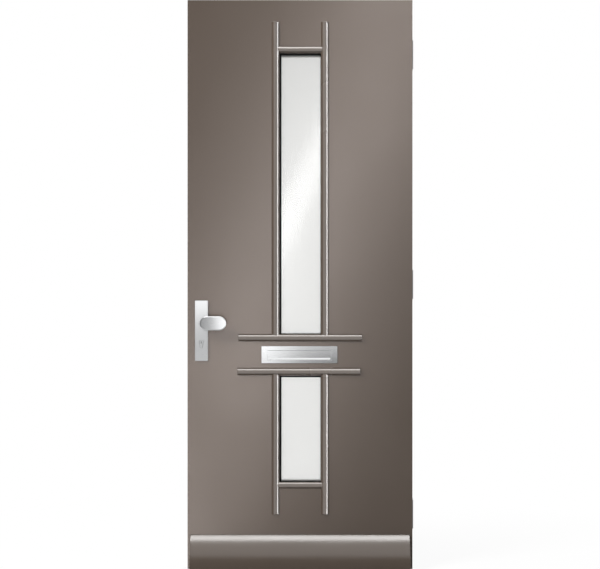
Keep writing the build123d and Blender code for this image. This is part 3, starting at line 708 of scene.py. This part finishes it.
letterFlap = settle("letter_flap_lipped", makeFlap(), "flap", "plateMetal", ["letter_flap"],
                    sharp=40)
innerFrame = flatPiece([letterLoop, openLoop], letter["innerThick"], letter["innerEdge"], rounds=3)
bmesh.ops.scale(innerFrame, vec=(-1, 1, 1), verts=innerFrame.verts)
place(innerFrame, "room", (letter["x"], lock["leafThick"], letter["z"]))
settle("inner_letter_frame_satin", innerFrame, "leaf", "satinMetal", ["inner_letter_frame"])
frameScrews = [screwHead("room", (letter["x"] + side * letter["screwX"], lock["leafThick"] + letter["innerThick"],
                                  letter["z"])) for side in (-1, 1)]
settle("inner_frame_screws", merge(frameScrews), "leaf", "steelMetal")
print("stage: letter plate and flap made")

# lock faceplate in the edge of the leaf
facePlate = {
    "width": 24, "height": 240, "thick": 3, "corner": 1.5, "edge": 0.2, "z": 975.0, "latchZ": 1000.0,
    "deadZ": 915.0, "latch": (12.6, 22.6), "dead": (12.6, 32.6), "holeCorner": 0.4,
}
faceLoops = [roundedLoop((0, 0), facePlate["width"], facePlate["height"], facePlate["corner"])]
for hole, z in ((facePlate["latch"], facePlate["latchZ"]), (facePlate["dead"], facePlate["deadZ"])):
    faceLoops.append(roundedLoop((0, z - facePlate["z"]), *hole, facePlate["holeCorner"]))
edgeX = -(leaf["right"] - leaf["left"]) * 500
faceMetal = place(flatPiece(faceLoops, facePlate["thick"], facePlate["edge"], rounds=1), "lock",
                  (edgeX + facePlate["thick"], lock["leafThick"] / 2, facePlate["z"]))
settle("lock_faceplate_cut", faceMetal, "leaf", "steelMetal", ["lock_faceplate"])

# butt hinges: plates, rolled knuckles, pins and screws
hinge = {
    "heights": (220, 1176.5, 2133), "height": 120, "width": 35, "thick": 3, "corner": 1.5, "edge": 0.25,
    "knuckle": 7, "knuckleEdge": 0.5, "bore": 4.05, "boreEdge": 0.2, "around": 56, "webInto": 1, "gap": 3,
    "play": 0.4, "barrelDepth": 75.5, "screwAcross": 8, "screwAlong": 42, "pin": 4, "pinEdge": 0.3,
    "pinHead": [(6, 0), (6, 2), (5.5, 3), (4.4, 3.7), (3, 4), (0, 4)],
}
frameX = -edgeX + hinge["thick"] + hinge["gap"]
barrelX = -edgeX + hinge["gap"] / 2
hingeOutline = roundedLoop((0, 0), hinge["width"], hinge["height"], hinge["corner"])
pinProfile = [(0, 0), (hinge["pin"] - hinge["pinEdge"], 0), (hinge["pin"], hinge["pinEdge"]),
              (hinge["pin"], hinge["height"])]
pinProfile += [(radius, hinge["height"] + rise) for radius, rise in hinge["pinHead"]]


def knuckle(z, count, plateX):
    step = hinge["height"] / 3
    low = z - hinge["height"] / 2 + count * step + (hinge["play"] / 2 if count > 0 else 0)
    high = z - hinge["height"] / 2 + (count + 1) * step - (hinge["play"] / 2 if count < 2 else 0)
    outer, rim, tall = hinge["knuckle"], hinge["knuckleEdge"], high - low
    bore, inner = hinge["bore"], hinge["boreEdge"]
    ring = lathe([(bore, inner), (bore + inner, 0), (outer - rim, 0), (outer, rim), (outer, tall - rim),
                  (outer - rim, tall), (bore + inner, tall), (bore, tall - inner), (bore, inner)], hinge["around"])
    place(ring, "up", (barrelX, hinge["barrelDepth"], low))
    root = lock["leafThick"] - hinge["webInto"]
    web = place(block(hinge["thick"], hinge["barrelDepth"] - root, tall, inner), "up",
                (plateX, (root + hinge["barrelDepth"]) / 2, low))
    return [ring, web]


frameParts, doorParts, pinParts, frameScrewParts, doorScrewParts = [], [], [], [], []
for z in hinge["heights"]:
    depth = lock["leafThick"] - hinge["width"] / 2
    for facing, back, parts, screws in (("lock", frameX, frameParts, frameScrewParts),
                                        ("hinge", -edgeX - hinge["thick"], doorParts, doorScrewParts)):
        metal = flatPiece([hingeOutline], hinge["thick"], hinge["edge"], rounds=1)
        parts.append(place(metal, facing, (back, depth, z)))
        front = back - hinge["thick"] if facing == "lock" else back + hinge["thick"]
        for across in (-hinge["screwAcross"], hinge["screwAcross"]):
            for along in (-hinge["screwAlong"], hinge["screwAlong"]):
                screws.append(screwHead(facing, (front, depth + across, z + along)))
    for count in (0, 2):
        frameParts += knuckle(z, count, frameX - hinge["thick"] / 2)
    doorParts += knuckle(z, 1, -edgeX - hinge["thick"] / 2)
    pinParts.append(place(lathe(pinProfile), "up", (barrelX, hinge["barrelDepth"], z - hinge["height"] / 2)))
settle("frame_hinge_halves", merge(frameParts), "frame_hinges", "steelMetal", ["frame_hinge_plates"])
settle("door_hinge_halves", merge(doorParts), "leaf", "steelMetal", ["door_hinge_plates"])
settle("hinge_pins_turned", merge(pinParts), "frame_hinges", "steelMetal", ["hinge_pins"])
settle("frame_hinge_screws", merge(frameScrewParts), "frame_hinges", "steelMetal")
settle("door_hinge_screws", merge(doorScrewParts), "leaf", "steelMetal")
print("stage: hinges made")

# finishes of the CAD nodes that stay
nodeFinish = {
    "leafPaint": ["outer_skin", "inner_skin", "upper_light_liner", "lower_light_liner", "upper_inner_bead",
                  "lower_inner_bead"],
    "edgePaint": ["hinge_stile", "lock_stile", "top_rail", "bottom_rail"],
    "satinMetal": ["upper_spacer", "lower_spacer"],
    "steelMetal": ["flap_pin", "lock_case", "latch_bolt", "dead_bolt"],
    # glazing gaskets: real black rubber, and the strip of it showing at the left and top of each pane also stands
    # in for painted shade in the recess
    "gasket": ["upper_outer_gasket", "lower_outer_gasket", "upper_inner_gasket", "lower_inner_gasket"],
    "sleevePlastic": ["letter_sleeve"],
    "foamCore": ["foam_core"],
    "satinGlass": ["upper_outer_pane", "lower_outer_pane", "upper_inner_pane", "lower_inner_pane"],
}
for finish, names in nodeFinish.items():
    for name in names:
        piece = nodes[name]
        piece.data.materials.clear()
        piece.data.materials.append(finishes[finish])
print("stage: nodes finished")


# studio: pale floor, white surroundings, soft lamps and the camera
studio = {
    "pictureWide": 600, "pictureHigh": 569, "distance": 5.0, "sensor": 36.0,
    "floorRadius": 4.0, "floorAround": 96, "floorBehind": 1.6, "floorDrop": 0.002, "floorKeep": 0.12,
    "floorNear": 1.0, "floorFar": 2.3, "floorDark": (232, 232, 232), "floorLight": (240, 240, 240),
    "ambient": 0.16, "frontGlow": 0.18, "backFrom": -0.05, "backTo": 0.25, "highGlow": 0.78, "highFrom": 0.03,
    "highTo": 0.19, "belowGlow": 0.6, "belowFrom": -0.3, "belowTo": -0.55,
}
centre = Vector((leaf["middle"], leaf["face"], (leaf["foot"] + leaf["head"]) / 2))


def paleFloor():  # white to the eye, and still a plain floor that takes the shadow near the door
    material, tree = newMaterial("paleFloor")
    output = addNode(tree, "ShaderNodeOutputMaterial", (900, 0))
    path = addNode(tree, "ShaderNodeLightPath", (-600, 300))
    coordinates = addNode(tree, "ShaderNodeTexCoord", (-900, -200))
    centred = addNode(tree, "ShaderNodeMapping", (-700, -200))
    centred.inputs["Location"].default_value = -Vector((centre.x, centre.y, 0))
    away = addNode(tree, "ShaderNodeVectorMath", (-500, -200), operation="LENGTH")
    fade = addNode(tree, "ShaderNodeMapRange", (-300, -200))
    setInputs(fade, From_Min=studio["floorNear"], From_Max=studio["floorFar"],
              To_Min=1 - studio["floorKeep"], To_Max=1.0)
    share = addNode(tree, "ShaderNodeMath", (200, 200), operation="MULTIPLY")
    whole = addNode(tree, "ShaderNodeMath", (400, 300), operation="MAXIMUM")
    grit = addNode(tree, "ShaderNodeTexNoise", (-300, -500))
    setInputs(grit, Scale=40.0, Detail=3.0)
    tone = addNode(tree, "ShaderNodeMix", (0, -400), data_type="RGBA")
    tone.inputs["A"].default_value = srgb(*studio["floorDark"])
    tone.inputs["B"].default_value = srgb(*studio["floorLight"])
    glow = addNode(tree, "ShaderNodeEmission", (400, 0))
    setInputs(glow, Color=(1, 1, 1, 1), Strength=1.0)
    matte = addNode(tree, "ShaderNodeBsdfDiffuse", (400, -200))
    mix = addNode(tree, "ShaderNodeMixShader", (650, 0))
    link = tree.links.new
    link(coordinates.outputs["Object"], centred.inputs["Vector"])
    link(centred.outputs["Vector"], away.inputs[0])
    link(away.outputs["Value"], fade.inputs["Value"])
    link(path.outputs["Is Camera Ray"], share.inputs[0])
    link(fade.outputs["Result"], share.inputs[1])
    link(share.outputs[0], whole.inputs[0])
    link(path.outputs["Is Transmission Ray"], whole.inputs[1])
    link(coordinates.outputs["Object"], grit.inputs["Vector"])
    link(grit.outputs["Fac"], tone.inputs["Factor"])
    link(tone.outputs["Result"], matte.inputs["Color"])
    link(whole.outputs[0], mix.inputs["Fac"])
    link(matte.outputs["BSDF"], mix.inputs[1])
    link(glow.outputs["Emission"], mix.inputs[2])
    link(mix.outputs["Shader"], output.inputs["Surface"])
    return material


def makeFloor():
    bm = bmesh.new()
    bmesh.ops.create_circle(bm, cap_ends=True, segments=studio["floorAround"], radius=studio["floorRadius"])
    bmesh.ops.translate(bm, vec=(centre.x, centre.y + studio["floorBehind"], leaf["foot"] - studio["floorDrop"]),
                        verts=bm.verts)
    mesh = bpy.data.meshes.new("floor")
    bm.to_mesh(mesh)
    bm.free()
    floor = bpy.data.objects.new("floor", mesh)
    bpy.context.scene.collection.objects.link(floor)
    floor.data.materials.append(paleFloor())
    floor.visible_glossy = False  # the lower half of the air stands for it in reflections


makeFloor()


def wearing(*names):  # every piece with one of these finishes
    return [piece for piece in bpy.data.objects if piece.type == "MESH" and piece.data.materials
            and piece.data.materials[0].name in names]


metals = wearing("satinMetal", "knobMetal", "plateMetal", "steelMetal")
weather = [weatherBow, weatherEnds]
bars = [piece for piece in wearing("barPaint") if piece not in weather]
letterMetals = [letterPlate, letterFlap]
# lamps: place and aim in metres from the leaf's centre, glow as their own brightness, onto the pieces that take it
lamps = {
    "key": {"at": (-4.4, -3.4, 3.6), "size": (2.4, 2.4), "glow": 26.5, "kind": "soft"},
    "roomFill": {"at": (1.6, 4.2, 2.4), "size": (2.4, 2.4), "glow": 14.0, "kind": "soft"},
    "sheen": {"at": (-0.045, -2.5, 0.24), "aim": (-0.045, 0, 0.24), "size": (0.4, 8.0), "glow": 15.7, "roll": -24.5,
              "colour": (1.0, 0.92, 0.89), "kind": "gloss", "onto": wearing("leafPaint", "edgePaint")},
    "glassSheen": {"at": (-0.13, -2.5, 0.29), "aim": (-0.13, 0, 0.29), "size": (0.16, 5.0), "glow": 8.5,
                   "roll": -25.8, "kind": "gloss", "onto": wearing("satinGlass")},
    "right": {"at": (3.0, -0.8, 0.0), "size": (1.6, 5.0), "glow": 26.0, "kind": "gloss", "onto": bars},
    "above": {"at": (0.0, -1.7, 3.4), "size": (5.0, 2.6), "glow": 15.0, "kind": "gloss", "onto": bars},
    "barFront": {"at": (0.3, -3.2, -1.2), "aim": (0.3, 0, -1.2), "size": (8.0, 8.0), "glow": 2.8, "kind": "gloss",
                 "onto": bars},
    "footHigh": {"at": (0.0, -1.0, 1.8), "aim": (0, 0, -1.05), "size": (5.0, 1.1), "glow": 16.0, "kind": "gloss",
                 "onto": weather},
    "footFront": {"at": (0.0, -3.1, 1.3), "aim": (0, 0, -1.1), "size": (6.0, 3.6), "glow": 2.05, "kind": "gloss",
                  "onto": weather},
    "metalRight": {"at": (3.0, -1.6, 0.0), "size": (2.0, 4.0), "glow": 1.3, "kind": "gloss", "onto": metals},
    "metalAbove": {"at": (0.0, -1.4, 3.4), "size": (5.0, 2.0), "glow": 1.3, "kind": "gloss", "onto": metals},
    "plateCard": {"at": (-0.48, -0.9, 0.42), "aim": (-0.48, 0, 0.42), "size": (0.9, 1.16), "glow": 1.18,
                  "kind": "gloss", "onto": [handlePlate, cylinder]},
    "plateLow": {"at": (-0.48, -0.9, -0.8), "aim": (-0.48, 0, -0.8), "size": (0.9, 0.88), "glow": 0.4,
                 "kind": "gloss", "onto": [handlePlate, cylinder]},
    "letterCard": {"at": (-1.2, -2.5, -0.4), "aim": (-1.2, 0, -0.4), "size": (2.2, 3.0), "glow": 1.0,
                   "kind": "gloss", "onto": letterMetals},
    "letterHigh": {"at": (0.0, -0.6, 0.0), "aim": (0, 0, 0), "size": (2.2, 0.65), "glow": 0.42, "kind": "gloss",
                   "onto": letterMetals},
    "lipCard": {"at": (0.0, -2.2, 1.7), "aim": (0, 0, -0.3), "size": (5.0, 1.4), "glow": 0.52, "kind": "gloss",
                "onto": [letterFlap]},
    "knobCard": {"at": (0.8, -2.5, 0.0), "aim": (0.8, 0, 0.0), "size": (2.4, 3.0), "glow": 1.1, "kind": "gloss",
                 "onto": [knob]},
    "knobTop": {"at": (-0.8, -1.6, 2.4), "size": (2.5, 1.6), "glow": 2.0, "kind": "gloss", "onto": [knob]},
    "front": {"at": (0.0, -5.5, 0.0), "size": (5.0, 5.0), "glow": 0.18, "kind": "gloss",
              "onto": [piece for piece in metals if piece not in letterMetals]},
}


def addLamp(name, look):
    light = bpy.data.lights.new(name, "AREA")
    light.shape = "RECTANGLE"
    light.size, light.size_y = look["size"]
    light.energy = look["glow"] * pi * look["size"][0] * look["size"][1]
    light.color = look.get("colour", (1, 1, 1))
    lamp = bpy.data.objects.new(name, light)
    at = Vector(look["at"])
    turn = (Vector(look.get("aim", (0, 0, 0))) - at).to_track_quat("-Z", "Y").to_matrix().to_4x4()
    roll = Matrix.Rotation(radians(look.get("roll", 0)), 4, "Z")
    lamp.matrix_world = Matrix.Translation(centre + at) @ turn @ roll
    lamp.visible_camera = False
    lamp.visible_transmission = False
    if look["kind"] == "gloss":
        lamp.visible_diffuse = False
        lamp.visible_volume_scatter = False
    else:
        lamp.visible_glossy = False
    if "onto" in look:
        receivers = bpy.data.collections.new(name + "Onto")
        for piece in look["onto"]:
            receivers.objects.link(piece)
        lamp.light_linking.receiver_collection = receivers
    bpy.context.scene.collection.objects.link(lamp)


for name, look in lamps.items():
    addLamp(name, look)


def makeWorld():  # white behind the door for the eye and for reflections, grey in front of it, paler below
    world = bpy.data.worlds.new("studioAir")
    bpy.context.scene.world = world
    world.use_nodes = True
    tree = world.node_tree
    tree.nodes.clear()
    output = addNode(tree, "ShaderNodeOutputWorld", (800, 0))
    path = addNode(tree, "ShaderNodeLightPath", (-600, 200))
    coordinates = addNode(tree, "ShaderNodeTexCoord", (-900, -200))
    split = addNode(tree, "ShaderNodeSeparateXYZ", (-700, -200))
    behind = addNode(tree, "ShaderNodeMapRange", (-500, -200))
    setInputs(behind, From_Min=studio["backFrom"], From_Max=studio["backTo"], To_Min=studio["frontGlow"],
              To_Max=1.0)
    below = addNode(tree, "ShaderNodeMapRange", (-500, -800))
    setInputs(below, From_Min=studio["belowFrom"], From_Max=studio["belowTo"], To_Min=0.0,
              To_Max=studio["belowGlow"])
    high = addNode(tree, "ShaderNodeMapRange", (-500, -500))  # the backdrop pales off upwards behind the glass
    setInputs(high, From_Min=studio["highFrom"], From_Max=studio["highTo"], To_Min=1.0, To_Max=studio["highGlow"])
    mirrored = addNode(tree, "ShaderNodeMath", (-250, -300), operation="MAXIMUM")
    either = addNode(tree, "ShaderNodeMath", (-200, 200), operation="MAXIMUM")
    glossMix = addNode(tree, "ShaderNodeMix", (0, -100), data_type="FLOAT")
    glossMix.inputs["A"].default_value = studio["ambient"]
    through = addNode(tree, "ShaderNodeMix", (0, -400), data_type="FLOAT")
    through.inputs["A"].default_value = 1.0
    level = addNode(tree, "ShaderNodeMix", (250, -50), data_type="FLOAT")
    air = addNode(tree, "ShaderNodeBackground", (550, 0))
    setInputs(air, Color=(1, 1, 1, 1))
    link = tree.links.new
    link(coordinates.outputs["Generated"], split.inputs["Vector"])
    link(split.outputs["Y"], behind.inputs["Value"])
    link(split.outputs["Z"], below.inputs["Value"])
    link(split.outputs["Z"], high.inputs["Value"])
    link(behind.outputs["Result"], mirrored.inputs[0])
    link(below.outputs["Result"], mirrored.inputs[1])
    link(mirrored.outputs[0], glossMix.inputs["B"])
    link(path.outputs["Is Glossy Ray"], glossMix.inputs["Factor"])
    link(high.outputs["Result"], through.inputs["B"])
    link(path.outputs["Is Transmission Ray"], through.inputs["Factor"])
    link(path.outputs["Is Camera Ray"], either.inputs[0])
    link(path.outputs["Is Transmission Ray"], either.inputs[1])
    link(either.outputs[0], level.inputs["Factor"])
    link(glossMix.outputs["Result"], level.inputs["A"])
    link(through.outputs["Result"], level.inputs["B"])
    link(level.outputs["Result"], air.inputs["Strength"])
    link(air.outputs["Background"], output.inputs["Surface"])


makeWorld()

camera = bpy.data.cameras.new("camera")
camera.sensor_width = studio["sensor"]
pictureWidth = leaf["height"] * studio["pictureWide"] / studio["pictureHigh"]
camera.lens = studio["sensor"] * studio["distance"] / pictureWidth
cameraObject = bpy.data.objects.new("camera", camera)
cameraObject.location = centre + Vector((0, -studio["distance"], 0))
cameraObject.rotation_euler = (radians(90), 0, 0)
bpy.context.scene.collection.objects.link(cameraObject)
bpy.context.scene.camera = cameraObject
bpy.context.scene.view_settings.view_transform = "Standard"
print("stage: studio set")
